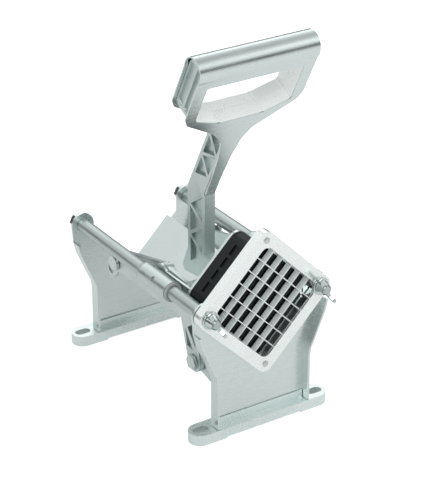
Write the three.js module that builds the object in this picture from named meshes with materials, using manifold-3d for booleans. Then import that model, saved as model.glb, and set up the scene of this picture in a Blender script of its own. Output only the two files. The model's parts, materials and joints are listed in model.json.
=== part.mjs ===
// Lever-operated vegetable dicer: two sheet stands on cast feet carry two guide rods, a knife grid
// in a square frame turned 45 degrees, and a V trough. A pusher rides on the rods, driven by a cast
// lever that is hinged on the carriage and steered by two links from the front stand.
// Millimetres, +X right, +Y to the back, +Z up. Shapes are drawn with y = 0 on the front stand's
// face and the finished group is moved so that its box stands centred on the origin.

import * as THREE from 'three';
import { mergeVertices } from 'three/addons/utils/BufferGeometryUtils.js';
import Module from 'manifold-3d';

const wasm = await Module();
wasm.setup();

// ---- driving dimensions ------------------------------------------------------------------------

const GAP = 0.3; // clear space between neighbouring solids
const SIDES = [['left', -1], ['right', 1]];

const KNIFE_PITCH = 12; // side of one cut stick
const KNIVES = 5; // in each direction
const BLADE = { thick: 0.8, front: -6.7, back: -0.7, slot: 1.4, half: 38.2 };
const FRAME = { side: 92.5, radius: 8, wall: 2, front: -9, back: -0.5, opening: 72, cornerX: 45.5 };

const ROD = { x: 52.2, z: 112.6, radius: 6, thread: 3.9, threadHole: 4.3, sides: 24 };
const STAND = { sheet: 2, half: 44.6, bottom: 9.9, wing: 10.5, flange: 8, rearY: 190 };
const FOOT = { half: 65.5, radius: 10, height: 9.5, slotX: 55.5, slotHalf: 7, slotRadius: 4 };
const FOOT_RELIEF = { half: 36, height: 1.5 };
const FOOT_UPSTAND = { half: 42.2, front: -1.6, top: 16 };

const PUSHER = { side: 70, radius: 11, front: 4, back: 31, peg: 9.6, pegFront: 0.6, plateBack: 34 };
const TROUGH = { inner: 35.8, sheet: 1.5, half: 35, front: 0.3, back: 196 };
const BUSHING = { radius: 8.5, bore: 7.3, front: 47, back: 87 };
const LINER = { bore: 6.1, radius: 7.1, flange: 8.2, rim: 1.5 };

const LEVER_PIVOT = [78, 112.6]; // y, z of the hinge between carriage and lever
const DRIVE_PIN = [140, 98]; // y, z of the pin that joins lever and link, at rest
const LINK_PIVOT = [19, 62]; // y, z of the hinge between front stand and link
const LEVER_SWING = 75; // degrees from the end of the stroke to fully open
const CARRIAGE_TRAVEL = 64.6; // of the carriage over that swing
const LINK_SWING = 22.53; // degrees, of the link over that swing
const PIN = { radius: 4, hole: 4.3 };
const CROSSBAR = { y: 47, z: 112, radius: 4.5, boss: 6.5 };
const FORK = { inner: 37.3, outer: 40.6, boss: 33 };
const BRACKET = { inner: 41, outer: 43.3, low: 107.5, high: 117.7 };
const EAR = { inner: 41.5, outer: 44.9, radius: 10, low: 50, high: 74, tab: 26 };
const LINK = { inner: 45.6, outer: 49.9, eye: 9, boss: 7.6, barLow: 94, barHigh: 102 };

const ARM = { half: 4.9, web: 1.8, depth: 23 };
const BEND = [72.3, 174.5]; // y, z of the lever's front edge where it starts to lean
const LEAN = THREE.MathUtils.degToRad(27.8);
const HEAD = { thick: 22, half: 54, roll: 149.5, rollRadius: 11.7, skin: 1.2, core: 1.5 };
const WINDOW = { half: 44, top: 139, side: 102, bottomHalf: 20, bottom: 93, liner: 1.3 };

// ---- materials ---------------------------------------------------------------------------------

const paint = (color, roughness, metalness) =>
  new THREE.MeshStandardMaterial({ color, roughness, metalness });
const STAINLESS = paint(0xc9cfce, 0.35, 1);
const ALUMINIUM = paint(0xb9bfbe, 0.45, 1);
const CHROME = paint(0xd6dad9, 0.15, 1);
const BLACK_PLASTIC = paint(0x16181a, 0.45, 0);
const LINER_PLASTIC = paint(0x8f9696, 0.5, 0);

const part = new THREE.Group();

function add(name, shape, material) {
  const geometry = shape.isBufferGeometry ? shape : toGeometry(shape);
  geometry.computeVertexNormals();
  const mesh = new THREE.Mesh(geometry, material);
  mesh.name = name;
  part.add(mesh);
}

// ---- solids ------------------------------------------------------------------------------------

function toSolid(geometry) {
  const bare = geometry.clone();
  bare.deleteAttribute('normal');
  bare.deleteAttribute('uv');
  const merged = mergeVertices(bare, 1e-4);
  const corners = merged.index.array;
  const kept = [];
  for (let i = 0; i < corners.length; i += 3) {
    const [a, b, c] = [corners[i], corners[i + 1], corners[i + 2]];
    if (a !== b && b !== c && c !== a) kept.push(a, b, c);
  }
  return new wasm.Manifold(new wasm.Mesh({
    numProp: 3,
    vertProperties: new Float32Array(merged.attributes.position.array),
    triVerts: new Uint32Array(kept),
  }));
}

function toGeometry(solid) {
  const mesh = solid.getMesh();
  const geometry = new THREE.BufferGeometry();
  geometry.setAttribute('position', new THREE.BufferAttribute(mesh.vertProperties, mesh.numProp));
  geometry.setIndex(new THREE.BufferAttribute(mesh.triVerts, 1));
  return geometry;
}

const join = (...solids) => solids.reduce((whole, next) => whole.add(next));
const cut = (whole, ...tools) => tools.reduce((rest, tool) => rest.subtract(tool), whole);

// ---- outlines ----------------------------------------------------------------------------------

function arc(x, y, radius, from, to, steps) {
  const points = [];
  for (let i = 0; i <= steps; i += 1) {
    const angle = THREE.MathUtils.degToRad(from + ((to - from) * i) / steps);
    points.push([x + radius * Math.cos(angle), y + radius * Math.sin(angle)]);
  }
  return points;
}

const disc = (x, y, radius, sides = 16) => arc(x, y, radius, 0, 360, sides).slice(0, -1);

// A corner given as [x, y, radius] is rounded; one given as [x, y] stays sharp.
function rounded(corners, steps = 4) {
  const points = [];
  corners.forEach(([x, y, radius = 0], i) => {
    const here = new THREE.Vector2(x, y);
    if (!radius) {
      points.push([x, y]);
      return;
    }
    const before = new THREE.Vector2(...corners.at(i - 1)).sub(here).normalize();
    const after = new THREE.Vector2(...corners[(i + 1) % corners.length]).sub(here).normalize();
    const half = Math.acos(THREE.MathUtils.clamp(before.dot(after), -1, 1)) / 2;
    const middle = before.clone().add(after).normalize();
    const centre = here.clone().addScaledVector(middle, radius / Math.sin(half));
    const start = before.clone().multiplyScalar(radius / Math.tan(half)).add(here).sub(centre);
    const end = after.clone().multiplyScalar(radius / Math.tan(half)).add(here).sub(centre);
    let sweep = end.angle() - start.angle();
    if (sweep > Math.PI) sweep -= 2 * Math.PI;
    if (sweep < -Math.PI) sweep += 2 * Math.PI;
    for (let k = 0; k <= steps; k += 1) {
      const turned = start.clone().rotateAround(new THREE.Vector2(), (sweep * k) / steps);
      points.push([centre.x + turned.x, centre.y + turned.y]);
    }
  });
  return points;
}

const mirrored = (corners) =>
  [...corners, ...corners.filter(([x]) => x !== 0).reverse().map(([x, ...rest]) => [-x, ...rest])];

function roundedSquare(side, radius, steps = 4) {
  const half = side / 2;
  return rounded([[half, -half, radius], [half, half, radius], [-half, half, radius],
    [-half, -half, radius]], steps);
}

// A band of the given half width along a chain of points, with round ends.
function ribbon(chain, halfWidth, steps = 6) {
  const path = chain.map(([x, y]) => new THREE.Vector2(x, y));
  const headings = path.map((_, i) => {
    const ahead = path[Math.min(i + 1, path.length - 1)];
    return ahead.clone().sub(path[Math.max(i - 1, 0)]).angle();
  });
  const degrees = headings.map(THREE.MathUtils.radToDeg);
  const side = (i, turn) => {
    const angle = headings[i] + turn;
    return [path[i].x + halfWidth * Math.cos(angle), path[i].y + halfWidth * Math.sin(angle)];
  };
  const inner = path.slice(1, -1).map((_, i) => i + 1);
  const last = path.length - 1;
  return [
    ...arc(path[0].x, path[0].y, halfWidth, degrees[0] + 90, degrees[0] + 270, steps),
    ...inner.map((i) => side(i, -Math.PI / 2)),
    ...arc(path[last].x, path[last].y, halfWidth, degrees[last] - 90, degrees[last] + 90, steps),
    ...inner.reverse().map((i) => side(i, Math.PI / 2)),
  ];
}

// A bar with round ends of two sizes.
function taper([x1, y1], radius1, [x2, y2], radius2, steps = 8) {
  const length = Math.hypot(x2 - x1, y2 - y1);
  const heading = THREE.MathUtils.radToDeg(Math.atan2(y2 - y1, x2 - x1));
  const tilt = THREE.MathUtils.radToDeg(Math.acos((radius1 - radius2) / length));
  return [...arc(x2, y2, radius2, heading - tilt, heading + tilt, steps),
    ...arc(x1, y1, radius1, heading + tilt, heading + 360 - tilt, steps)];
}

// ---- prisms and turned pieces ------------------------------------------------------------------

const AXES = {
  x: [new THREE.Vector3(0, 1, 0), new THREE.Vector3(0, 0, 1), new THREE.Vector3(1, 0, 0)],
  y: [new THREE.Vector3(1, 0, 0), new THREE.Vector3(0, 0, 1), new THREE.Vector3(0, -1, 0)],
  z: [new THREE.Vector3(1, 0, 0), new THREE.Vector3(0, 1, 0), new THREE.Vector3(0, 0, 1)],
};

// The outline lies across the axis: (y, z) for x, (x, z) for y and (x, y) for z.
function prismGeometry(points, axis, from, to, holes = []) {
  const shape = new THREE.Shape(points.map((p) => new THREE.Vector2(...p)));
  holes.forEach((hole) => shape.holes.push(new THREE.Path(hole.map((p) => new THREE.Vector2(...p)))));
  const [low, high] = [Math.min(from, to), Math.max(from, to)];
  const geometry = new THREE.ExtrudeGeometry(shape, { depth: high - low, bevelEnabled: false });
  const start = new THREE.Vector3();
  start[axis] = axis === 'y' ? high : low;
  return geometry.applyMatrix4(new THREE.Matrix4().makeBasis(...AXES[axis]).setPosition(start));
}

const prism = (...shape) => toSolid(prismGeometry(...shape));

function block([x1, x2], [y1, y2], [z1, z2]) {
  const geometry = new THREE.BoxGeometry(Math.abs(x2 - x1), y2 - y1, z2 - z1);
  return toSolid(geometry.translate((x1 + x2) / 2, (y1 + y2) / 2, (z1 + z2) / 2));
}

// Turned about Y: the profile lists [radius, y] from front to back.
function turnedGeometry(profile, x = 0, z = 0, sides = ROD.sides) {
  const points = profile.map(([radius, y]) => new THREE.Vector2(radius, y));
  return new THREE.LatheGeometry(points, sides).translate(x, 0, z);
}

function turned(profile, x, z, sides) {
  return toSolid(turnedGeometry(profile, x, z, sides));
}

const tube = (outer, bore, front, back, x, z, sides) =>
  turned([[bore, front], [outer, front], [outer, back], [bore, back], [bore, front]], x, z, sides);

// Turns a solid drawn square to the axes into the knife grid's frame, 45 degrees about the Y axis.
function turnToGrid(solid) {
  return toSolid(toGeometry(solid).rotateY(-Math.PI / 4).translate(0, 0, ROD.z));
}

// ---- stands, feet and rods ---------------------------------------------------------------------

const STAND_EDGE = [[STAND.half, STAND.bottom], [STAND.half, 50], [45.6, 57], [48.8, 64], [59, 88],
  [61.6, 98]];

function stand(y) {
  const vBottom = ROD.z - (TROUGH.inner + TROUGH.sheet + 0.4) * Math.SQRT2;
  const wingIn = ROD.x - STAND.wing;
  const half = [...STAND_EDGE, ...arc(ROD.x, ROD.z, STAND.wing, -15, 180, 14),
    [wingIn, wingIn + vBottom], [0, vBottom]];
  const holes = SIDES.map(([, side]) => disc(side * ROD.x, ROD.z, ROD.threadHole));
  const sheet = prism(mirrored(half), 'y', y, y + STAND.sheet, holes);
  const flanges = SIDES.map(([, side]) => {
    const outer = STAND_EDGE.map(([x, z]) => [side * x, z]);
    const inner = STAND_EDGE.map(([x, z]) => [side * (x - STAND.sheet), z]).reverse();
    return prism([...outer, ...inner], 'y', y - STAND.flange, y + STAND.sheet);
  });
  return join(sheet, ...flanges);
}

function foot(y) {
  const centre = y + STAND.sheet / 2;
  const inset = FOOT.half - FOOT.radius;
  const bar = prism(ribbon([[-inset, centre], [inset, centre]], FOOT.radius, 12), 'z', 0, FOOT.height);
  const reach = FOOT.slotHalf - FOOT.slotRadius;
  const slots = SIDES.map(([, side]) => {
    const middle = side * FOOT.slotX;
    const line = [[middle - reach, centre], [middle + reach, centre]];
    return prism(ribbon(line, FOOT.slotRadius), 'z', -1, FOOT.height + 1);
  });
  const across = [centre - FOOT.radius - 1, centre + FOOT.radius + 1];
  const relief = block([-FOOT_RELIEF.half, FOOT_RELIEF.half], across, [-1, FOOT_RELIEF.height]);
  const upstand = block([-FOOT_UPSTAND.half, FOOT_UPSTAND.half], [y + FOOT_UPSTAND.front, y - GAP],
    [FOOT.height - 1, FOOT_UPSTAND.top]);
  return cut(join(bar, upstand), relief, ...slots);
}

for (const [name, y] of [['front', 0], ['rear', STAND.rearY]]) {
  add(`${name}_stand`, stand(y), STAINLESS);
  add(`${name}_foot`, foot(y), ALUMINIUM);
}

const ROD_FRONT = -19;
const ROD_BACK = 201.5;
const SHOULDER = [STAND.sheet + GAP, STAND.rearY - GAP];
const ROD_PROFILE = [[0, ROD_FRONT], [ROD.thread - 0.8, ROD_FRONT], [ROD.thread, ROD_FRONT + 0.8],
  [ROD.thread, SHOULDER[0]], [ROD.radius, SHOULDER[0]], [ROD.radius, SHOULDER[1]],
  [ROD.thread, SHOULDER[1]], [ROD.thread, ROD_BACK], [0, ROD_BACK]];

const DOME = { seat: STAND.rearY + STAND.sheet + GAP, collar: 8, hex: 7.4, hexBack: 200.5, radius: 5.6 };

function domeNut(x) {
  const hexagon = prism(disc(x, ROD.z, DOME.hex, 6), 'y', DOME.seat, DOME.hexBack);
  const collar = prism(disc(x, ROD.z, DOME.collar, 24), 'y', DOME.seat, DOME.seat + 1.5);
  const cap = arc(0, DOME.hexBack, DOME.radius, 0, 90, 5).map(([radius, y]) => [Math.max(radius, 0), y]);
  cap[cap.length - 1][0] = 0;
  const dome = turned([[0, DOME.hexBack - 2], [DOME.radius, DOME.hexBack - 2], ...cap], x, ROD.z, 16);
  const bore = [[0, 190], [ROD.threadHole, 190], [ROD.threadHole, ROD_BACK + GAP], [0, ROD_BACK + GAP]];
  return cut(join(hexagon, collar, dome), turned(bore, x, ROD.z));
}

for (const [name, side] of SIDES) {
  add(`guide_rod_${name}`, turned(ROD_PROFILE, side * ROD.x, ROD.z), CHROME);
  add(`dome_nut_${name}`, domeNut(side * ROD.x), CHROME);
}

// ---- trough ------------------------------------------------------------------------------------

function troughSection() {
  const vee = (distance) => ROD.z - distance * Math.SQRT2;
  const outer = TROUGH.inner + TROUGH.sheet;
  const step = TROUGH.sheet / Math.SQRT2;
  const [top, inside, outside] = [TROUGH.half, vee(TROUGH.inner), vee(outer)];
  return rounded([[-top, inside + top], [-top - step, outside + top + step], [0, outside, 4],
    [top + step, outside + top + step], [top, inside + top], [0, inside, 2.5]]);
}

add('trough', prism(troughSection(), 'y', TROUGH.front, TROUGH.back), STAINLESS);

// ---- knife frame and knives --------------------------------------------------------------------

const RIVET = { reach: 55, radius: 1.9, hole: 2.2, head: 2.9 };

function knifeFrame() {
  const { side, radius, wall, front, back, opening, cornerX } = FRAME;
  const outer = prism(roundedSquare(side, radius, 6), 'y', front, back);
  const inner = prism(roundedSquare(side - 2 * wall, radius - wall, 6), 'y', front + wall, back + 1);
  const mouth = turnToGrid(prism(roundedSquare(opening, 6), 'y', front - 1, front + wall + 1));
  const span = block([-cornerX, cornerX], [front - 2, back + 2], [0, 2 * ROD.z]);
  const threads = SIDES.map(([, x]) => prism(disc(x * ROD.x, ROD.z, ROD.threadHole), 'y', front - 1, 0));
  const rivets = [-1, 1].map((up) =>
    prism(disc(0, ROD.z + up * RIVET.reach, RIVET.hole, 12), 'y', front - 1, 0));
  return cut(turnToGrid(cut(outer, inner)), mouth.intersect(span), ...threads, ...rivets);
}

function comb(slotFrom, slotTo, toEdge) {
  const points = [[-BLADE.half, slotFrom === BLADE.front ? BLADE.back : BLADE.front]];
  points.push([-BLADE.half, toEdge]);
  for (let i = 0; i < KNIVES; i += 1) {
    const middle = knifePlace(i);
    const depth = toEdge === slotFrom ? slotTo : slotFrom;
    points.push([middle - BLADE.slot / 2, toEdge], [middle - BLADE.slot / 2, depth]);
    points.push([middle + BLADE.slot / 2, depth], [middle + BLADE.slot / 2, toEdge]);
  }
  points.push([BLADE.half, toEdge], [BLADE.half, points[0][1]]);
  return points;
}

const knifePlace = (i) => (i - (KNIVES - 1) / 2) * KNIFE_PITCH;

// The two rows of knives are notched to half their depth where they cross.
function blade(rising, i) {
  const middle = (BLADE.front + BLADE.back) / 2;
  const [from, to] = [knifePlace(i) - BLADE.thick / 2, knifePlace(i) + BLADE.thick / 2];
  if (rising) return turnToGrid(prism(comb(middle - GAP / 2, BLADE.back, BLADE.back), 'z', from, to));
  const profile = comb(BLADE.front, middle + GAP / 2, BLADE.front);
  return turnToGrid(prism(profile.map(([along, y]) => [y, along]), 'x', from, to));
}

const BAR = { inner: 36.3, outer: 41, half: 31.5, slotDepth: 38.7 };

// Two bars lie across the grid's first direction and two across its second.
function knifeBar(side, first) {
  const across = [side * BAR.inner, side * BAR.outer].sort((a, b) => a - b);
  const depth = [side * BAR.slotDepth, side * 30].sort((a, b) => a - b);
  const lay = (along, over, y) => (first ? block(over, y, along) : block(along, y, over));
  const slots = [];
  for (let i = 0; i < KNIVES; i += 1) {
    const at = knifePlace(i);
    slots.push(lay([at - BLADE.slot / 2, at + BLADE.slot / 2], depth, [-10, 10]));
  }
  return turnToGrid(cut(lay([-BAR.half, BAR.half], across, [BLADE.front, BLADE.back]), ...slots));
}

add('knife_frame', knifeFrame(), STAINLESS);
add('knife_bar_upper_left', knifeBar(1, false), STAINLESS);
add('knife_bar_lower_right', knifeBar(-1, false), STAINLESS);
add('knife_bar_upper_right', knifeBar(1, true), STAINLESS);
add('knife_bar_lower_left', knifeBar(-1, true), STAINLESS);
for (let i = 0; i < KNIVES; i += 1) {
  add(`blade_rising_${i + 1}`, blade(true, i), CHROME);
  add(`blade_falling_${i + 1}`, blade(false, i), CHROME);
}

const FRAME_BACK = FRAME.front + FRAME.wall;
const RIVET_PROFILE = [[0, FRAME.front - 1], [RIVET.head - 1, FRAME.front - 1],
  [RIVET.head, FRAME.front - GAP], [RIVET.radius, FRAME.front - GAP], [RIVET.radius, FRAME_BACK + GAP],
  [RIVET.head, FRAME_BACK + GAP], [RIVET.head - 0.5, FRAME_BACK + 1.3], [0, FRAME_BACK + 1.3]];
add('frame_rivet_lower', turned(RIVET_PROFILE, 0, ROD.z - RIVET.reach, 12), CHROME);
add('frame_rivet_upper', turned(RIVET_PROFILE, 0, ROD.z + RIVET.reach, 12), CHROME);

// ---- wing nuts ---------------------------------------------------------------------------------

const WING_WASHER = [FRAME.front - GAP - 1.3, FRAME.front - GAP];
const WING = { tilt: 58, thick: 2.6, back: WING_WASHER[0] - GAP, front: -17.8, hub: 5.6 };

function wingNut(x) {
  const { back, front, hub } = WING;
  const body = turned([[0, front], [hub - 1.2, front], [hub, back - 1.5], [hub + 0.6, back], [0, back]],
    0, 0, 16);
  const leaf = [[3, back - 0.6], [hub + 4, back - 1.2], [14.6, back - 4.6, 2], [15.4, front - 2.7, 2],
    [11, front - 2.7, 2.5], [8.2, front + 1], [3, front + 0.6]];
  const leaves = [-1, 1].map((side) => {
    const outline = rounded(leaf.map(([reach, y, radius]) => [side * reach, y, radius]));
    return prism(outline, 'z', -WING.thick / 2, WING.thick / 2);
  });
  const bore = turned([[0, front - 5], [ROD.threadHole, front - 5], [ROD.threadHole, 0], [0, 0]], 0, 0, 16);
  const tilt = THREE.MathUtils.degToRad(WING.tilt);
  return toGeometry(cut(join(body, ...leaves), bore)).rotateY(tilt).translate(x, 0, ROD.z);
}

for (const [name, side] of SIDES) {
  add(`wing_nut_${name}`, wingNut(side * ROD.x), CHROME);
  add(`wing_washer_${name}`, tube(7.5, ROD.threadHole, ...WING_WASHER, side * ROD.x, ROD.z), CHROME);
}

// ---- pivot ears on the front stand -------------------------------------------------------------

const STUD = { x: 32, z: LINK_PIVOT[1], radius: 2, hole: 2.3, nut: 3.8 };
const EAR_FRONT = STAND.sheet + GAP;
const EAR_TAB_BACK = EAR_FRONT + 2.3;

function pivotEar(side) {
  const [y, z] = LINK_PIVOT;
  const plate = join(prism(disc(y, z, EAR.radius, 24), 'x', side * EAR.inner, side * EAR.outer),
    prism([[EAR_FRONT, EAR.low], [y - 4, z - 9.2], [y - 4, z + 9.2], [EAR_FRONT, EAR.high]], 'x',
      side * EAR.inner, side * EAR.outer));
  const across = [side * EAR.tab, side * EAR.outer].sort((a, b) => a - b);
  const tab = block(across, [EAR_FRONT, EAR_TAB_BACK], [EAR.low, EAR.high]);
  const eye = prism(disc(y, z, PIN.hole), 'x', side * (EAR.inner - 1), side * (EAR.outer + 1));
  const stud = prism(disc(side * STUD.x, STUD.z, STUD.hole, 12), 'y', 0, 10);
  return cut(join(plate, tab), eye, stud);
}

const STUD_PROFILE = [[0, EAR_FRONT], [STUD.radius, EAR_FRONT], [STUD.radius, EAR_TAB_BACK + GAP],
  [STUD.nut, EAR_TAB_BACK + GAP], [STUD.nut, EAR_TAB_BACK + 3], [0, EAR_TAB_BACK + 3.6]];

const BOLT = { head: 3, headRadius: 6.6, tip: 36.8 };
const BOLT_SEAT = LINK.outer + GAP;
const EAR_NUT = { from: EAR.inner - GAP - 3.6, to: EAR.inner - GAP, radius: 6.2 };

function boltX([y, z], side, seat, tip, headSides) {
  const shank = prism(disc(y, z, PIN.radius), 'x', side * tip, side * (seat + 1));
  const head = prism(disc(y, z, BOLT.headRadius, headSides), 'x', side * seat, side * (seat + BOLT.head));
  return join(shank, head);
}

for (const [name, side] of SIDES) {
  add(`pivot_ear_${name}`, pivotEar(side), ALUMINIUM);
  add(`pivot_bolt_${name}`, boltX(LINK_PIVOT, side, BOLT_SEAT, BOLT.tip, 6), CHROME);
  add(`pivot_nut_${name}`, prism(disc(...LINK_PIVOT, EAR_NUT.radius, 6), 'x', side * EAR_NUT.from,
    side * EAR_NUT.to, [disc(...LINK_PIVOT, PIN.hole)]), CHROME);
  add(`ear_stud_${name}`, turned(STUD_PROFILE, side * STUD.x, STUD.z, 12), CHROME);
}

// ---- links -------------------------------------------------------------------------------------

const turnBy = ([y, z], degrees) => new THREE.Vector2(y, z)
  .rotateAround(new THREE.Vector2(), THREE.MathUtils.degToRad(degrees)).toArray();

// Where the drive pin runs in the link while the lever swings: a short slanting track.
function pinTrack(steps = 6) {
  const [pivot, pin, anchor] = [LEVER_PIVOT, DRIVE_PIN, LINK_PIVOT];
  const track = [];
  for (let i = 0; i <= steps; i += 1) {
    const share = i / steps;
    const swung = turnBy([pin[0] - pivot[0], pin[1] - pivot[1]], -LEVER_SWING * share);
    const place = [pivot[0] + CARRIAGE_TRAVEL * share + swung[0], pivot[1] + swung[1]];
    const inLink = turnBy([place[0] - anchor[0], place[1] - anchor[1]], LINK_SWING * share);
    track.push([anchor[0] + inLink[0], anchor[1] + inLink[1]]);
  }
  return track;
}

function insetTriangle(corners, inset) {
  const [a, b, c] = corners.map(([x, y]) => new THREE.Vector2(x, y));
  const [oppositeA, oppositeB, oppositeC] = [b.distanceTo(c), c.distanceTo(a), a.distanceTo(b)];
  const around = oppositeA + oppositeB + oppositeC;
  const centre = a.clone().multiplyScalar(oppositeA).addScaledVector(b, oppositeB)
    .addScaledVector(c, oppositeC).divideScalar(around);
  const area = Math.abs(b.clone().sub(a).cross(c.clone().sub(a))) / 2;
  const scale = 1 - inset / ((2 * area) / around);
  return [a, b, c].map((p) => p.sub(centre).multiplyScalar(scale).add(centre).toArray());
}

function link(side) {
  const [y, z] = LINK_PIVOT;
  const [from, to] = [side * LINK.inner, side * LINK.outer];
  const track = pinTrack();
  const far = track[Math.floor(track.length / 2)];
  const along = (outline) => prism(outline, 'x', from, to);
  const through = (outline) => prism(outline, 'x', side * (LINK.inner - 1), side * (LINK.outer + 1));
  const leg = rounded([[y - 8.8, z + 2], [y - 3.5, LINK.barHigh, 3], [44, LINK.barHigh], [38, LINK.barLow, 4],
    [y + 9, z - 1]]);
  const bar = [[20, LINK.barLow], [DRIVE_PIN[0], LINK.barLow - 3], [DRIVE_PIN[0], LINK.barHigh + 3],
    [DRIVE_PIN[0] - 14, LINK.barHigh], [20, LINK.barHigh]];
  const pockets = [[[y - 4.6, z + 9], [y + 11, z + 27], [y - 0.5, z + 36]],
    [[y - 2.5, z + 7], [y + 10.5, z + 9.5], [y + 15, z + 30]]];
  const body = join(along(disc(y, z, LINK.eye, 24)), along(leg), along(bar),
    along(ribbon([DRIVE_PIN, far], LINK.boss, 10)));
  return cut(body, through(disc(y, z, PIN.hole)), ...track.slice(0, -1).map((p, i) =>
    through(ribbon([p, track[i + 1]], PIN.hole, 8))), ...pockets.map((p) => through(insetTriangle(p, 1.2))));
}

for (const [name, side] of SIDES) add(`link_${name}`, link(side), ALUMINIUM);

// ---- carriage: bushings, brackets and pusher ---------------------------------------------------

const PLATE = { front: PUSHER.back + GAP, side: 71, radius: 10, half: 45.4 };
const SCREW = { x: 33, z: 30, radius: 2, hole: 2.35, head: 4, tip: 22 };
const BRACKET_FRONT = PUSHER.plateBack + GAP;
const BRACKET_TAB = { back: BRACKET_FRONT + 2.3, inner: 27 };
const OIL_HOLE = { radius: 2, y: 66, fromTop: 50 };

function bushing(side) {
  const sleeve = tube(BUSHING.radius, BUSHING.bore, BUSHING.front, BUSHING.back, 0, 0);
  const drill = new THREE.CylinderGeometry(OIL_HOLE.radius, OIL_HOLE.radius, 12, 12).translate(0, 8, 0)
    .rotateX(Math.PI / 2).translate(0, OIL_HOLE.y, 0)
    .rotateY(side * THREE.MathUtils.degToRad(OIL_HOLE.fromTop));
  return toGeometry(cut(sleeve, toSolid(drill))).translate(side * ROD.x, 0, ROD.z);
}

function liner(x) {
  const [front, back] = [BUSHING.front - GAP, BUSHING.back + GAP];
  const { bore, radius, flange, rim } = LINER;
  return turned([[bore, front - rim], [flange, front - rim], [flange, front], [radius, front],
    [radius, back], [flange, back], [flange, back + rim], [bore, back + rim], [bore, front - rim]], x, ROD.z);
}

const SCREWS = [['left', -SCREW.x, 0, BRACKET_TAB.back], ['right', SCREW.x, 0, BRACKET_TAB.back],
  ['lower', 0, -SCREW.z, PUSHER.plateBack], ['upper', 0, SCREW.z, PUSHER.plateBack]];
const screwHoles = () => SCREWS.map(([, x, z]) => prism(disc(x, ROD.z + z, SCREW.hole, 12), 'y',
  SCREW.tip - GAP, 60));

function bracket(side) {
  const [y, z] = LEVER_PIVOT;
  const [from, to] = [side * BRACKET.inner, side * BRACKET.outer];
  const outline = [[BRACKET_FRONT, BRACKET.low], [y, BRACKET.low], [y, BRACKET.high],
    [BRACKET_FRONT, BRACKET.high]];
  const tab = block([side * BRACKET_TAB.inner, to].sort((a, b) => a - b),
    [BRACKET_FRONT, BRACKET_TAB.back], [BRACKET.low, BRACKET.high]);
  const plate = join(prism(outline, 'x', from, to), prism(disc(y, z, 9, 24), 'x', from, to), tab);
  return cut(plate, prism(disc(y, z, PIN.hole), 'x', side * 40, side * 45), ...screwHoles());
}

function pusherBlock() {
  const { side, radius, front, back, peg, pegFront } = PUSHER;
  const cells = [];
  for (let i = 0; i <= KNIVES; i += 1) {
    for (let k = 0; k <= KNIVES; k += 1) {
      const [u, v] = [i, k].map((n) => (n - KNIVES / 2) * KNIFE_PITCH);
      const atRod = i + k === KNIVES && i % KNIVES === 0;
      if (!atRod) {
        cells.push(block([u - peg / 2, u + peg / 2], [pegFront, front + 1], [v - peg / 2, v + peg / 2]));
      }
    }
  }
  const dents = [];
  for (const at of [-18, -6, 6, 18]) {
    for (const edge of [-side / 2, side / 2]) {
      const [deep, wide, high] = [[edge - 1.5, edge + 1.5], [at - 4.5, at + 4.5], [13, 22]];
      dents.push(block(deep, high, wide), block(wide, high, deep));
    }
  }
  const body = join(prism(roundedSquare(side, radius, 6), 'y', front, back), ...cells);
  return cut(turnToGrid(cut(body, ...dents)), ...screwHoles());
}

function pusherPlate() {
  const square = turnToGrid(prism(roundedSquare(PLATE.side, PLATE.radius, 6), 'y', PLATE.front,
    PUSHER.plateBack));
  const span = block([-PLATE.half, PLATE.half], [0, 60], [0, 2 * ROD.z]);
  return cut(square.intersect(span), ...screwHoles());
}

function pusherScrew(x, z, seat) {
  return turned([[0, SCREW.tip], [SCREW.radius, SCREW.tip], [SCREW.radius, seat + GAP],
    [SCREW.head, seat + GAP], [SCREW.head, seat + 1.6], [2, seat + 2.6], [0, seat + 2.6]], x, ROD.z + z, 12);
}

for (const [name, side] of SIDES) {
  add(`slide_bushing_${name}`, bushing(side), ALUMINIUM);
  add(`bushing_liner_${name}`, liner(side * ROD.x), LINER_PLASTIC);
  add(`carriage_bracket_${name}`, bracket(side), STAINLESS);
  add(`lever_pivot_${name}`, prism(disc(...LEVER_PIVOT, PIN.radius), 'x', side * FORK.boss,
    side * BRACKET.outer), CHROME);
}
add('pusher_block', pusherBlock(), BLACK_PLASTIC);
add('pusher_plate', pusherPlate(), STAINLESS);
for (const [name, x, z, seat] of SCREWS) add(`pusher_screw_${name}`, pusherScrew(x, z, seat), CHROME);

// ---- lever -------------------------------------------------------------------------------------

const LEAN_UP = [-Math.sin(LEAN), Math.cos(LEAN)];
const LEAN_BACK = [Math.cos(LEAN), Math.sin(LEAN)];

// Side view: s runs up the leaning arm from the bend, w runs back from its front face.
const lean = (s, w, radius) => [BEND[0] + s * LEAN_UP[0] + w * LEAN_BACK[0],
  BEND[1] + s * LEAN_UP[1] + w * LEAN_BACK[1], radius];

// A solid drawn in the head's own face, (x, s) with its depth behind the face, put in its place.
function headPrism(outline, from, to) {
  const frame = new THREE.Matrix4().makeBasis(new THREE.Vector3(1, 0, 0),
    new THREE.Vector3(0, ...LEAN_UP), new THREE.Vector3(0, -LEAN_BACK[0], -LEAN_BACK[1]));
  frame.setPosition(0, ...BEND);
  return toSolid(prismGeometry(outline, 'z', -to, -from).applyMatrix4(frame));
}

const rollBar = (radius, half) =>
  prism(disc(...lean(HEAD.roll, HEAD.thick / 2).slice(0, 2), radius, 24), 'x', -half, half);

function windowOutline(grow) {
  const { half, top, side, bottomHalf, bottom } = WINDOW;
  return rounded(mirrored([[half + grow, top + grow, 2.5 + grow], [half + grow, side - grow * 0.4, 2 + grow],
    [bottomHalf, bottom - grow, 4]]).reverse(), 3);
}

const headOutline = (half, low) => rounded(mirrored([[half, HEAD.roll], [half, 107 + low, 5],
  [half - 3.5, 99.5 + low, 7], [17, 78 + low]]));

const TONGUE = [[17, 79], [9.4, 66, 12], [6, 46, 10], [4.6, 20], [4.6, GAP + 0.1]];

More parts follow.
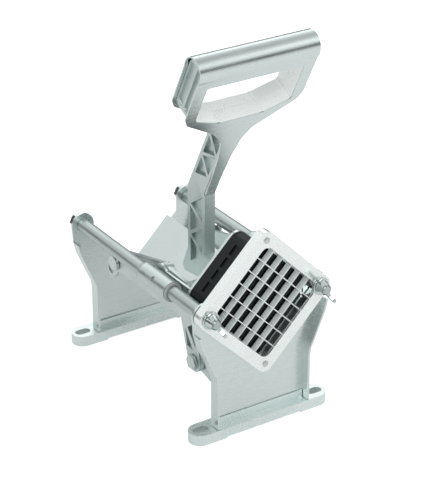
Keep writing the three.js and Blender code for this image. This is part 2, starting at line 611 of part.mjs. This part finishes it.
function pockets() {
  const cuts = [];
  const zigzag = (place, length, near, far, count) => {
    const step = length / (count + 1);
    for (let i = 0; i < count; i += 1) {
      const corners = [0, 1, 2].map((k) => place((i + k) * step, (i + k) % 2 ? near : far));
      const outline = insetTriangle(corners, 1.5);
      for (const side of [-1, 1]) cuts.push(prism(outline, 'x', side * ARM.web, side * (ARM.half + 2)));
    }
  };
  zigzag((along, across) => [73 + across, 104 + along], 70, 2.2, 22.8, 4);
  zigzag((along, across) => lean(4 + along, across).slice(0, 2), 64, 3.4, 21.4, 4);
  return cuts;
}

function leverCasting() {
  const arm = prism(rounded([lean(0, 0), [73, 108, 6], [81, 97, 4], [104, 94, 3], [107, 99, 3],
    [98, 118, 14], [98, 175, 12], lean(66, ARM.depth, 5), lean(76, 20.4), lean(84, 20.4),
    lean(84, HEAD.core), lean(0, HEAD.core)]), 'x', -ARM.half, ARM.half);
  const neck = headPrism(rounded(mirrored([[30, 96], [16, 79], [8.4, 66, 10], [ARM.half, 56]])),
    HEAD.core, HEAD.thick - HEAD.core);
  const core = headPrism(headOutline(HEAD.half - 3, 1), HEAD.core, HEAD.thick - HEAD.core);
  const hollow = headPrism(windowOutline(WINDOW.liner + GAP), -5, HEAD.thick + 5);
  const ends = [-1, 1].flatMap((side) => [[3.5, 9.4], [12.6, 18.5]].map(([from, to]) =>
    headPrism([[side * 60, 104], [side * 60, 156], [side * 49, 152], [side * 49, 110]], from, to)));
  const { y, z, radius, boss } = CROSSBAR;
  const crossbar = prism(disc(y, z, radius, 20), 'x', -FORK.outer, FORK.outer);
  const foot = prism(taper([y, z], boss, [84, 110], 11), 'x', -ARM.half, ARM.half);
  const bars = [taper(LEVER_PIVOT, 9, DRIVE_PIN, 7.5), taper([y, z], boss, LEVER_PIVOT, 7.5)];
  const fork = SIDES.flatMap(([, side]) => bars.map((outline) => prism(outline, 'x', side * FORK.inner,
    side * FORK.outer)));
  const bosses = SIDES.map(([, side]) => prism(disc(...LEVER_PIVOT, 7.5, 20), 'x', side * FORK.boss,
    side * FORK.outer));
  const bores = SIDES.flatMap(([, side]) => [
    prism(disc(...LEVER_PIVOT, PIN.radius + 0.15), 'x', side * 30, side * 42),
    prism(disc(...DRIVE_PIN, PIN.hole), 'x', side * 36, side * 42)]);
  const head = cut(join(core, neck, rollBar(9.4, HEAD.half - 3)), hollow, ...ends);
  return cut(join(arm, foot, crossbar, ...fork, ...bosses, head), ...pockets(), ...bores);
}

function handleShell() {
  const { thick, skin, half, roll, rollRadius } = HEAD;
  const outside = join(headPrism(headOutline(half, 0), 0, thick), rollBar(rollRadius, half));
  const wide = [[-60, 60], [60, 60], [60, roll], [-60, roll]];
  const inside = join(headPrism(wide, skin, thick - skin), rollBar(rollRadius - skin, 60));
  const tongue = headPrism(rounded(mirrored(TONGUE)), 0, skin);
  const wall = headPrism(windowOutline(WINDOW.liner), skin / 2, thick - skin / 2);
  return cut(join(cut(outside, inside), tongue, wall), headPrism(windowOutline(0), -2, thick + 2));
}

add('lever_casting', leverCasting(), ALUMINIUM);
add('handle_shell', handleShell(), STAINLESS);
for (const [name, side] of SIDES) {
  add(`drive_pin_${name}`, boltX(DRIVE_PIN, side, LINK.outer + GAP, FORK.inner, 16), CHROME);
}

// ---- stand the part on the origin --------------------------------------------------------------

const centre = new THREE.Box3().setFromObject(part).getCenter(new THREE.Vector3());
part.position.set(0, -centre.y, 0);

export default part;
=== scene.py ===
"""Looks of the lever-operated vegetable dicer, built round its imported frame. Metres, +Z up."""
import json
import math

import bmesh
import bpy
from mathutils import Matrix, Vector


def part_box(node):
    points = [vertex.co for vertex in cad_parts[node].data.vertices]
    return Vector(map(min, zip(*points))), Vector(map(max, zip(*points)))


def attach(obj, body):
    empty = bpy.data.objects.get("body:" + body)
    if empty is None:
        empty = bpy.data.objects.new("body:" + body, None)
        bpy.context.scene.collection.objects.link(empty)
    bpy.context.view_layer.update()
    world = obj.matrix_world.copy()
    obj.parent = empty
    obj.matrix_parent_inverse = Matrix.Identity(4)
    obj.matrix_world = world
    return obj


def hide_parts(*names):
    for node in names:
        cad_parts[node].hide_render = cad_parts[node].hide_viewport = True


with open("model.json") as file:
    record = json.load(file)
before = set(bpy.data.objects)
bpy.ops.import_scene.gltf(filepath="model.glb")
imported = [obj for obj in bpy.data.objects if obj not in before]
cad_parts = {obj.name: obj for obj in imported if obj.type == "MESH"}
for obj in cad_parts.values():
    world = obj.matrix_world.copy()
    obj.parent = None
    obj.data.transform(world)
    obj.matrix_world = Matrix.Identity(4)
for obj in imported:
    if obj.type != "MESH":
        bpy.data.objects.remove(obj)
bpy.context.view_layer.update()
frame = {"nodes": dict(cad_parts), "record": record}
NODES = frame["nodes"]
BODY_OF = {n: b for b, ns in frame["record"]["behaviour"]["bodies"].items() for n in ns}

MM = 0.001
SHEET = 2 * MM
FACE_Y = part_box("front_stand")[1].y - SHEET  # front face of the front stand


# ---- camera, light and floor -------------------------------------------------------------------

CAMERA = {"azimuth": -33.0, "elevation": 26.34, "distance": 1.5758, "lens": 146.9,
          "shift": (-0.0097, -0.0281), "aim": (0, FACE_Y + 63.9 * MM, 149.35 * MM)}


def make_camera():
    azimuth, elevation = math.radians(CAMERA["azimuth"]), math.radians(CAMERA["elevation"])
    back = Vector((math.sin(azimuth) * math.cos(elevation),
                   -math.cos(azimuth) * math.cos(elevation), math.sin(elevation)))
    camera = bpy.data.objects.new("camera", bpy.data.cameras.new("camera"))
    camera.data.lens = CAMERA["lens"]
    camera.data.shift_x, camera.data.shift_y = CAMERA["shift"]
    camera.location = Vector(CAMERA["aim"]) + back * CAMERA["distance"]
    camera.rotation_euler = back.to_track_quat("Z", "Y").to_euler()
    bpy.context.scene.collection.objects.link(camera)
    bpy.context.scene.camera = camera


LIGHT_AIM = (0, 0, 0.14)
LIGHTS = [  # name, place, width and height, watts
    ("key", (-0.9, -1.3, 1.7), (1.2, 1.2), 10),
    ("fill", (1.6, -0.9, 0.9), (0.8, 1.4), 4),
    ("rim", (0.6, 1.6, 1.3), (1.6, 0.8), 2.5),
]


def softbox(name, place, size, power):
    light = bpy.data.objects.new(name, bpy.data.lights.new(name, "AREA"))
    light.data.shape = "RECTANGLE"
    light.data.size, light.data.size_y = size
    light.data.energy = power
    light.location = place
    aim = Vector(LIGHT_AIM) - Vector(place)
    light.rotation_euler = aim.to_track_quat("-Z", "Y").to_euler()
    bpy.context.scene.collection.objects.link(light)


# Brightness against direction, from 0 straight down through 0.5 at the horizon to 1 straight up.
SKY = [(0.0, 0.5), (0.48, 0.4), (0.53, 0.06), (0.6, 0.12), (0.72, 1.1), (0.84, 1.15), (0.93, 0.55),
       (1.0, 0.4)]
SKY_TINT = (0.97, 1, 0.995)
SKY_STRENGTH = 0.9


def make_world():
    world = bpy.data.worlds.new("studio")
    bpy.context.scene.world = world
    world.use_nodes = True
    tree = world.node_tree
    coord = tree.nodes.new("ShaderNodeTexCoord")
    split = tree.nodes.new("ShaderNodeSeparateXYZ")
    ramp = tree.nodes.new("ShaderNodeValToRGB")
    while len(ramp.color_ramp.elements) < len(SKY):
        ramp.color_ramp.elements.new(0.5)
    for element, (place, value) in zip(ramp.color_ramp.elements, SKY):
        element.position = place
        element.color = (*[value * c for c in SKY_TINT], 1)
    half = tree.nodes.new("ShaderNodeMapRange")
    half.inputs["From Min"].default_value = -1
    tree.links.new(coord.outputs["Generated"], split.inputs[0])
    tree.links.new(split.outputs["Z"], half.inputs["Value"])
    tree.links.new(half.outputs["Result"], ramp.inputs["Fac"])
    tree.links.new(ramp.outputs["Color"], tree.nodes["Background"].inputs["Color"])
    tree.nodes["Background"].inputs["Strength"].default_value = SKY_STRENGTH


FLOOR = {"reach": 6, "tone": 0.75, "roughness": 0.9}
FLOOR_GLOW = {"seen": 0.7, "reflected": 0.2}  # as the camera sees it, and as the metal does


def make_floor():
    mesh = bpy.data.meshes.new("floor")
    corners = [(-1, -1), (1, -1), (1, 1), (-1, 1)]
    mesh.from_pydata([(x * FLOOR["reach"], y * FLOOR["reach"], 0) for x, y in corners], [],
                     [(0, 1, 2, 3)])
    floor = bpy.data.objects.new("floor", mesh)
    bpy.context.scene.collection.objects.link(floor)
    material = bpy.data.materials.new("pale_floor")
    material.use_nodes = True
    shader = material.node_tree.nodes["Principled BSDF"]
    shader.inputs["Base Color"].default_value = (*[FLOOR["tone"]] * 3, 1)
    shader.inputs["Roughness"].default_value = FLOOR["roughness"]
    shader.inputs["Emission Color"].default_value = (1, 1, 1, 1)
    direct = material.node_tree.nodes.new("ShaderNodeLightPath").outputs["Is Camera Ray"]
    glow = material.node_tree.nodes.new("ShaderNodeMapRange")
    glow.inputs["To Min"].default_value = FLOOR_GLOW["reflected"]
    glow.inputs["To Max"].default_value = FLOOR_GLOW["seen"]
    material.node_tree.links.new(direct, glow.inputs["Value"])
    material.node_tree.links.new(glow.outputs["Result"], shader.inputs["Emission Strength"])
    mesh.materials.append(material)


make_camera()
make_world()
make_floor()
for light in LIGHTS:
    softbox(*light)
bpy.context.scene.view_settings.view_transform = "Standard"


# ---- materials ---------------------------------------------------------------------------------

NOISE_SPAN = (0.3, 0.7)  # where most of a noise texture's values lie


class Finish:
    """A procedural material made of a fine grain and a wide, soft cloud."""

    def __init__(self, name, tint, metallic=1.0, gloss=0.5):
        self.material = bpy.data.materials.new(name)
        self.material.use_nodes = True
        self.tree = self.material.node_tree
        self.shader = self.tree.nodes["Principled BSDF"]
        self.shader.inputs["Metallic"].default_value = metallic
        self.shader.inputs["Specular IOR Level"].default_value = gloss
        self.tint = tint
        self.coord = self.tree.nodes.new("ShaderNodeTexCoord").outputs["Object"]

    def noise(self, grain, detail=4.0, rough=0.6):
        mapping = self.tree.nodes.new("ShaderNodeMapping")
        mapping.inputs["Scale"].default_value = grain
        noise = self.tree.nodes.new("ShaderNodeTexNoise")
        noise.inputs["Scale"].default_value = 1.0
        noise.inputs["Detail"].default_value = detail
        noise.inputs["Roughness"].default_value = rough
        self.tree.links.new(self.coord, mapping.inputs["Vector"])
        self.tree.links.new(mapping.outputs[0], noise.inputs["Vector"])
        return noise.outputs["Fac"]

    def spread(self, value, low, high):
        node = self.tree.nodes.new("ShaderNodeMapRange")
        node.inputs["From Min"].default_value, node.inputs["From Max"].default_value = NOISE_SPAN
        node.inputs["To Min"].default_value, node.inputs["To Max"].default_value = low, high
        self.tree.links.new(value, node.inputs["Value"])
        return node.outputs["Result"]

    def add(self, a, b):
        node = self.tree.nodes.new("ShaderNodeMath")
        self.tree.links.new(a, node.inputs[0])
        self.tree.links.new(b, node.inputs[1])
        return node.outputs[0]

    def colour(self, value, low, high):
        mix = self.tree.nodes.new("ShaderNodeMix")
        mix.data_type = "RGBA"
        mix.inputs["A"].default_value = (*[c * low for c in self.tint], 1)
        mix.inputs["B"].default_value = (*[min(1.0, c * high) for c in self.tint], 1)
        self.tree.links.new(self.spread(value, 0, 1), mix.inputs["Factor"])
        self.tree.links.new(mix.outputs["Result"], self.shader.inputs["Base Color"])

    def bump(self, value, strength, depth):
        node = self.tree.nodes.new("ShaderNodeBump")
        node.inputs["Strength"].default_value = strength
        node.inputs["Distance"].default_value = depth
        self.tree.links.new(value, node.inputs["Height"])
        self.tree.links.new(node.outputs["Normal"], self.shader.inputs["Normal"])

    def surface(self, grain, cloud, tone, rough, bump):
        """Grain is noise cells per metre along X, Y and Z, cloud the same along all three. Tone
        and rough are spans of brightness and roughness; bump is a strength and a depth."""
        fine, wide = self.noise(grain), self.noise((cloud, cloud, cloud), 3.0, 0.5)
        self.colour(self.add(fine, self.spread(wide, -0.1, 0.1)), *tone)
        roughness = self.add(self.spread(fine, *rough), self.spread(wide, -0.04, 0.05))
        self.tree.links.new(roughness, self.shader.inputs["Roughness"])
        self.bump(fine, *bump)
        return self.material


def brushed(name, tint, grain, rough=0.27):
    return Finish(name, tint).surface(grain, 18, (0.95, 1.03), (rough - 0.03, rough + 0.05),
                                      (0.1, 0.008 * MM))


STEEL_TINT = (0.70, 0.76, 0.75)
CAST_TINT = (0.60, 0.67, 0.66)
FOOT_TINT = (0.78, 0.85, 0.84)
BRIGHT_TINT = (0.62, 0.67, 0.66)
# Painted shade: the guide rods take a darker copy of the steel tint, so that they look as dark as
# their shading.
ROD_SHADED_TINT = (0.50, 0.56, 0.55)
# Painted sheen: the knives take a near-white, hardly metallic copy of the steel tint, painted as
# bright as their reflections.
KNIFE_PAINTED_SHEEN_TINT = (0.92, 0.96, 0.95)
# Painted sheen: the lining of the hand opening takes a near-white, hardly metallic copy of the
# steel tint, painted as bright as its reflection.
LINING_PAINTED_SHEEN_TINT = (0.95, 0.97, 0.96)
# Painted sheen: the knife frame takes a near-white copy of the steel tint, painted as bright as
# its reflection.
PLATE_PAINTED_SHEEN_TINT = (0.93, 0.96, 0.95)
BLACK_TINT = (0.0055, 0.008, 0.009)
GREY_TINT = (0.42, 0.45, 0.44)

FINISHES = {
    "brushed_x": brushed("brushed_along_x", STEEL_TINT, (60, 2600, 2600)),
    "brushed_y": brushed("brushed_along_y", STEEL_TINT, (2600, 60, 2600)),
    "shell": brushed("brushed_handle_shell", STEEL_TINT, (50, 2200, 2200), 0.24),
    "cast": Finish("tumbled_cast_aluminium", CAST_TINT).surface(
        (1100, 1100, 1100), 35, (0.82, 1.08), (0.26, 0.44), (0.3, 0.05 * MM)),
    "foot": Finish("tumbled_cast_foot", FOOT_TINT).surface(
        (900, 900, 900), 25, (0.88, 1.06), (0.24, 0.4), (0.35, 0.05 * MM)),
    # Painted shade: the rods' ground finish is given the darkened steel tint above.
    "ground": Finish("ground_rod_painted_shade", ROD_SHADED_TINT).surface(
        (120, 5200, 120), 30, (0.92, 1.05), (0.33, 0.42), (0.15, 0.01 * MM)),
    "bright": Finish("polished_steel", BRIGHT_TINT).surface(
        (800, 800, 800), 60, (0.9, 1.04), (0.1, 0.2), (0.12, 0.02 * MM)),
    # Painted sheen: near-white knife steel, painted as bright as the blades' reflections.
    "knife": Finish("honed_knife_steel_painted_sheen", KNIFE_PAINTED_SHEEN_TINT, 0.1).surface(
        (3000, 90, 3000), 80, (0.93, 1.04), (0.3, 0.42), (0.12, 0.01 * MM)),
    # Painted sheen: the lining is tinted near white so that it shows as bright as the light it
    # catches.
    "lining": Finish("satin_lining_painted_sheen", LINING_PAINTED_SHEEN_TINT, 0.15).surface(
        (900, 900, 900), 60, (0.97, 1.03), (0.26, 0.38), (0.05, 0.01 * MM)),
    # Painted sheen: the frame's steel is tinted near white so that it stands out as bright as its
    # sheen.
    "plate": Finish("polished_knife_frame_painted_sheen", PLATE_PAINTED_SHEEN_TINT, 0.75).surface(
        (60, 2400, 2400), 40, (0.97, 1.02), (0.2, 0.3), (0.06, 0.01 * MM)),
    "black": Finish("black_moulding", BLACK_TINT, 0.0, 0.28).surface(
        (2400, 2400, 2400), 40, (0.7, 1.5), (0.38, 0.5), (0.3, 0.03 * MM)),
    "liner": Finish("grey_bearing_plastic", GREY_TINT, 0.0).surface(
        (1800, 1800, 1800), 50, (0.85, 1.1), (0.35, 0.5), (0.2, 0.02 * MM)),
}


# ---- pieces ------------------------------------------------------------------------------------

def place(name, mesh, node, finish):
    """A finished piece that stands for a CAD node and rides on its body."""
    piece = bpy.data.objects.new(name, mesh)
    bpy.context.scene.collection.objects.link(piece)
    mesh.materials.clear()
    mesh.materials.append(FINISHES[finish])
    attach(piece, BODY_OF[node])
    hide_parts(node)
    return piece


WELD = 0.002 * MM
FLAT = math.radians(0.5)
ANY_SHAPE = math.radians(180)


def clean_copy(node):
    """The node's solid with its triangles joined, so that its real edges can be rounded."""
    mesh = NODES[node].data.copy()
    build = bmesh.new()
    build.from_mesh(mesh)
    bmesh.ops.remove_doubles(build, verts=build.verts, dist=WELD)
    bmesh.ops.join_triangles(build, faces=build.faces, angle_face_threshold=FLAT,
                             angle_shape_threshold=ANY_SHAPE)
    for face in build.faces:
        face.smooth = True
    build.to_mesh(mesh)
    build.free()
    return mesh


def soften(mesh, width, segments, sharp=32):
    """Rounds the edges sharper than the given angle and returns the new mesh."""
    holder = bpy.data.objects.new("soften", mesh)
    bpy.context.scene.collection.objects.link(holder)
    bevel = holder.modifiers.new("edges", "BEVEL")
    bevel.width = width
    bevel.segments = segments
    bevel.limit_method = "ANGLE"
    bevel.angle_limit = math.radians(sharp)
    bevel.miter_outer = "MITER_ARC"
    normals = holder.modifiers.new("normals", "WEIGHTED_NORMAL")
    normals.keep_sharp = True
    bpy.context.view_layer.update()
    graph = bpy.context.evaluated_depsgraph_get()
    rounded = bpy.data.meshes.new_from_object(holder.evaluated_get(graph))
    bpy.data.objects.remove(holder)
    return rounded


def finish_node(node, finish, width, segments):
    place(node + "_finish", soften(clean_copy(node), width, segments), node, finish)


SHEET_EDGE, CAST_EDGE, FORGED_EDGE, SMALL_EDGE = 0.35 * MM, 0.8 * MM, 0.6 * MM, 0.4 * MM

# Node, finish, width of the rounded edges and their segments.
MAIN_LOOKS = [
    ("front_stand", "brushed_x", SHEET_EDGE, 2), ("front_foot", "foot", 1.2 * MM, 3),
    ("rear_stand", "brushed_x", SHEET_EDGE, 2), ("rear_foot", "foot", 1.2 * MM, 3),
    ("trough", "brushed_y", SHEET_EDGE, 2),
    # The plate finish carries painted sheen, a whitened copy of the steel.
    ("knife_frame", "plate", 0.6 * MM, 3),
    ("handle_shell", "shell", SHEET_EDGE, 3),
    ("lever_casting", "cast", CAST_EDGE, 2),
    ("pusher_block", "black", 0.5 * MM, 2),
    ("pusher_plate", "brushed_x", SMALL_EDGE, 2),
]
# The same for every node whose name starts so. The guide rods have their own shape, below.
SMALL_LOOKS = [
    # The knife finish carries painted sheen.
    (("blade",), "knife", 0.08 * MM, 1),
    (("knife_bar", "carriage_bracket"), "brushed_x", SMALL_EDGE, 2),
    (("link", "pivot_ear"), "cast", FORGED_EDGE, 2),
    (("slide_bushing",), "cast", SMALL_EDGE, 2),
    (("bushing_liner",), "liner", 0.25 * MM, 2),
    (("wing_nut",), "bright", 0.7 * MM, 3),
    (("dome_nut", "wing_washer", "frame_rivet", "pivot_bolt", "pivot_nut", "drive_pin", "ear_stud",
      "lever_pivot", "pusher_screw"), "bright", SMALL_EDGE, 2),
]

for look in MAIN_LOOKS:
    finish_node(*look)
for node in NODES:
    for starts, *look in SMALL_LOOKS:
        if node.startswith(starts):
            finish_node(node, *look)
            break


# ---- guide rods with cut threads ---------------------------------------------------------------

THREAD = {"pitch": 1.25 * MM, "depth": 0.65 * MM, "rows": 6, "sides": 40, "crest": 0.65}
ROD = {"chamfer": 0.4 * MM, "step": 0.05 * MM, "neck": 0.3 * MM, "front": 2.3 * MM,
       "rear_gap": 0.3 * MM}
SMOOTH_BELOW = math.radians(40)


def revolve(name, rows, centre):
    """Skins rows of (y, radius at an angle) round an axis along Y through the centre."""
    sides = THREAD["sides"]
    build = bmesh.new()
    rings = []
    for y, radius in rows:
        ring = []
        for i in range(sides):
            angle = 2 * math.pi * i / sides
            reach = radius(angle)
            ring.append(build.verts.new((centre.x + reach * math.cos(angle), y,
                                         centre.z + reach * math.sin(angle))))
        rings.append(ring)
    for near, far in zip(rings, rings[1:]):
        for i in range(sides):
            k = (i + 1) % sides
            build.faces.new((near[i], far[i], far[k], near[k]))
    build.faces.new(rings[0])
    build.faces.new(reversed(rings[-1]))
    bmesh.ops.recalc_face_normals(build, faces=build.faces)
    mesh = bpy.data.meshes.new(name)
    build.to_mesh(mesh)
    build.free()
    return mesh


def thread_rows(start, end, crest):
    """Rows of one threaded stretch, its ends run down to the root."""
    count = max(2, round((end - start) / THREAD["pitch"] * THREAD["rows"]))
    rows = []
    for i in range(count + 1):
        y = start + (end - start) * i / count
        ease = min(1.0, (y - start) / MM, (end - y) / MM)

        def radius(angle, y=y, ease=ease):
            turn = (y / THREAD["pitch"] - angle / (2 * math.pi)) % 1.0
            groove = abs(2 * turn - 1)
            return crest - THREAD["depth"] * (1 - ease * groove)
        rows.append((y, radius))
    return rows


def plain(size):
    return lambda angle: size


def guide_rod(side):
    """A ground rod between two shoulders, threaded for the wing nut in front of the first."""
    node = f"guide_rod_{side}"
    low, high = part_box(node)
    radius = (high.z - low.z) / 2
    crest = radius * THREAD["crest"]
    tail = crest - ROD["neck"]
    chamfer, step = ROD["chamfer"], ROD["step"]
    front = FACE_Y + ROD["front"]
    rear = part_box("rear_stand")[1].y - SHEET - ROD["rear_gap"]
    rows = thread_rows(low.y, front - step, crest)
    rows += [(front, plain(radius - chamfer)), (front + chamfer, plain(radius)),
             (rear - chamfer, plain(radius)), (rear, plain(radius - chamfer)),
             (rear + step, plain(tail)), (high.y, plain(tail))]
    mesh = revolve(node, rows, (low + high) / 2)
    for polygon in mesh.polygons:
        polygon.use_smooth = len(polygon.vertices) == 4
    mesh.set_sharp_from_angle(angle=SMOOTH_BELOW)
    # The ground finish carries painted shade, a darkened copy of the steel tint.
    place(node + "_finish", mesh, node, "ground")


for side in ("left", "right"):
    guide_rod(side)


# ---- lining of the hand opening ----------------------------------------------------------------

# In millimetres: the bend as (y, z) behind the front stand's face, the rest on the lever's head.
LEVER = {"bend": (72.3, 174.5), "lean": math.radians(27.8)}
WINDOW = [(44, 139), (44, 102), (20, 93), (-20, 93), (-44, 102), (-44, 139)]
# Depth behind the head's face and distance in from the opening's edge, round one section. The
# middle of it is a groove, the parting line.
LINING = [(0.3, 0.1), (0.3, 0.5), (10.6, 1.9), (11.0, 1.4), (11.4, 1.9), (21.7, 0.5), (21.7, 0.1)]


def head_point(x, s, w):
    """A point of the lever's head: s up its face from the bend, w back from the face."""
    sin, cos = math.sin(LEVER["lean"]), math.cos(LEVER["lean"])
    y = LEVER["bend"][0] - s * sin + w * cos
    z = LEVER["bend"][1] + s * cos + w * sin
    return Vector((x * MM, FACE_Y + y * MM, z * MM))


CORNER = {"cut": 2.2, "less_inside": 0.5, "middle": 0.42}


def inset_outline(corners, distance):
    """The outline moved inwards, its corners rounded by two short flats."""
    points = []
    for i, corner in enumerate(corners):
        here = Vector(corner)
        before = (Vector(corners[i - 1]) - here).normalized()
        after = (Vector(corners[(i + 1) % len(corners)]) - here).normalized()
        half = before.angle(after) / 2
        middle = (before + after).normalized()
        moved = here + middle * (distance / math.sin(half))
        cut = CORNER["cut"] - CORNER["less_inside"] * distance
        points += [moved + before * cut, moved + middle * cut * CORNER["middle"],
                   moved + after * cut]
    return points


def window_lining():
    build = bmesh.new()
    loops = []
    for depth, inward in LINING:
        outline = inset_outline(WINDOW, inward)
        loops.append([build.verts.new(head_point(p.x, p.y, depth)) for p in outline])
    for near, far in zip(loops, loops[1:] + loops[:1]):
        for i in range(len(near)):
            k = (i + 1) % len(near)
            build.faces.new((near[i], near[k], far[k], far[i]))
    bmesh.ops.recalc_face_normals(build, faces=build.faces)
    mesh = bpy.data.meshes.new("window_lining")
    build.to_mesh(mesh)
    build.free()
    piece = bpy.data.objects.new("window_lining", mesh)
    bpy.context.scene.collection.objects.link(piece)
    # The lining finish carries painted sheen, a whitened copy of the steel.
    mesh.materials.append(FINISHES["lining"])
    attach(piece, "lever")


window_lining()
